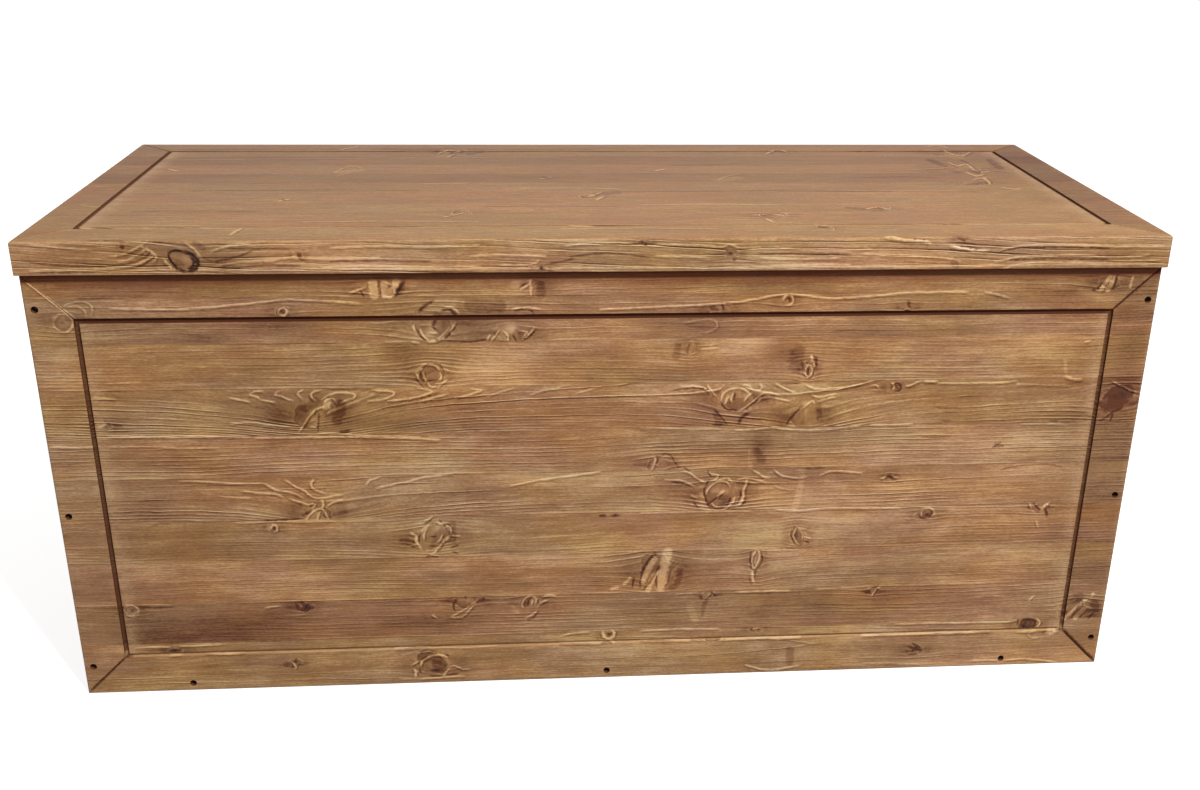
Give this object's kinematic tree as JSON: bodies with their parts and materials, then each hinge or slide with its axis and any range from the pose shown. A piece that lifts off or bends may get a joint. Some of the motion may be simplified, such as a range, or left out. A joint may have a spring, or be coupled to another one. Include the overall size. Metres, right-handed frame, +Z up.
{
  "type": "blanket chest",
  "caption": "Low wide pine storage chest with a thick lift-up lid on butt hinges, slotted lid stays and a routed line round its faces.",
  "frame": {"origin": "on the floor, under the middle of the closed chest's outer box", "axes": "+X to the right along the front, +Y from the front to the hinged back, +Z up"},
  "size_m": [1.002, 0.4194, 0.4506],
  "materials": {
    "pine": "brushed and stained knotty pine under a thin satin wax",
    "hinge_steel": "zinc-plated pressed steel, dulled",
    "stay_steel": "zinc-plated flat steel, rubbed along the slot",
    "sunk_screw_steel": "black phosphate",
    "fitting_screw_steel": "zinc-plated, cross recess"
  },
  "bodies": {
    "case": {"front_panel": "pine", "back_panel": "pine", "left_panel": "pine", "right_panel": "pine", "bottom_panel": "pine", "hinge_case_leaf_left": "hinge_steel", "hinge_case_leaf_middle": "hinge_steel", "hinge_case_leaf_right": "hinge_steel", "hinge_pin_left": "hinge_steel", "hinge_pin_middle": "hinge_steel", "hinge_pin_right": "hinge_steel", "stay_plate_left": "stay_steel", "stay_plate_right": "stay_steel", "stay_stud_left": "stay_steel", "stay_stud_right": "stay_steel", "front_screws": "sunk_screw_steel", "back_screws": "sunk_screw_steel", "left_end_screws": "sunk_screw_steel", "right_end_screws": "sunk_screw_steel", "hinge_case_screws": "fitting_screw_steel", "stay_plate_screws": "fitting_screw_steel"},
    "lid": {"lid_panel": "pine", "lid_batten_left": "pine", "lid_batten_right": "pine", "hinge_lid_leaf_left": "hinge_steel", "hinge_lid_leaf_middle": "hinge_steel", "hinge_lid_leaf_right": "hinge_steel", "stay_bracket_left": "stay_steel", "stay_bracket_right": "stay_steel", "stay_rivet_left": "stay_steel", "stay_rivet_right": "stay_steel", "hinge_lid_screws": "fitting_screw_steel", "batten_screws": "fitting_screw_steel", "stay_bracket_screws": "fitting_screw_steel"},
    "stay_arm_left": {"stay_arm_left": "stay_steel"},
    "stay_arm_right": {"stay_arm_right": "stay_steel"}
  },
  "joints": [
    {"name": "lid_hinge", "type": "hinge", "parent": "case", "child": "lid", "pos_m": [0, 0.20615, 0.4203], "axis": [-1, 0, 0], "range_deg": [0, 95]},
    {"name": "stay_swing_left", "type": "hinge", "parent": "lid", "child": "stay_arm_left", "pos_m": [-0.4745, 0.05659, 0.4088], "axis": [-1, 0, 0], "range_deg": [-47.5, 0]},
    {"name": "stay_swing_right", "type": "hinge", "parent": "lid", "child": "stay_arm_right", "pos_m": [0.4745, 0.05659, 0.4088], "axis": [-1, 0, 0], "range_deg": [-47.5, 0]}
  ],
  "couplings": [
    {"joint": "stay_swing_left", "follows": "lid_hinge", "ratio": -0.5},
    {"joint": "stay_swing_right", "follows": "lid_hinge", "ratio": -0.5}
  ]
}
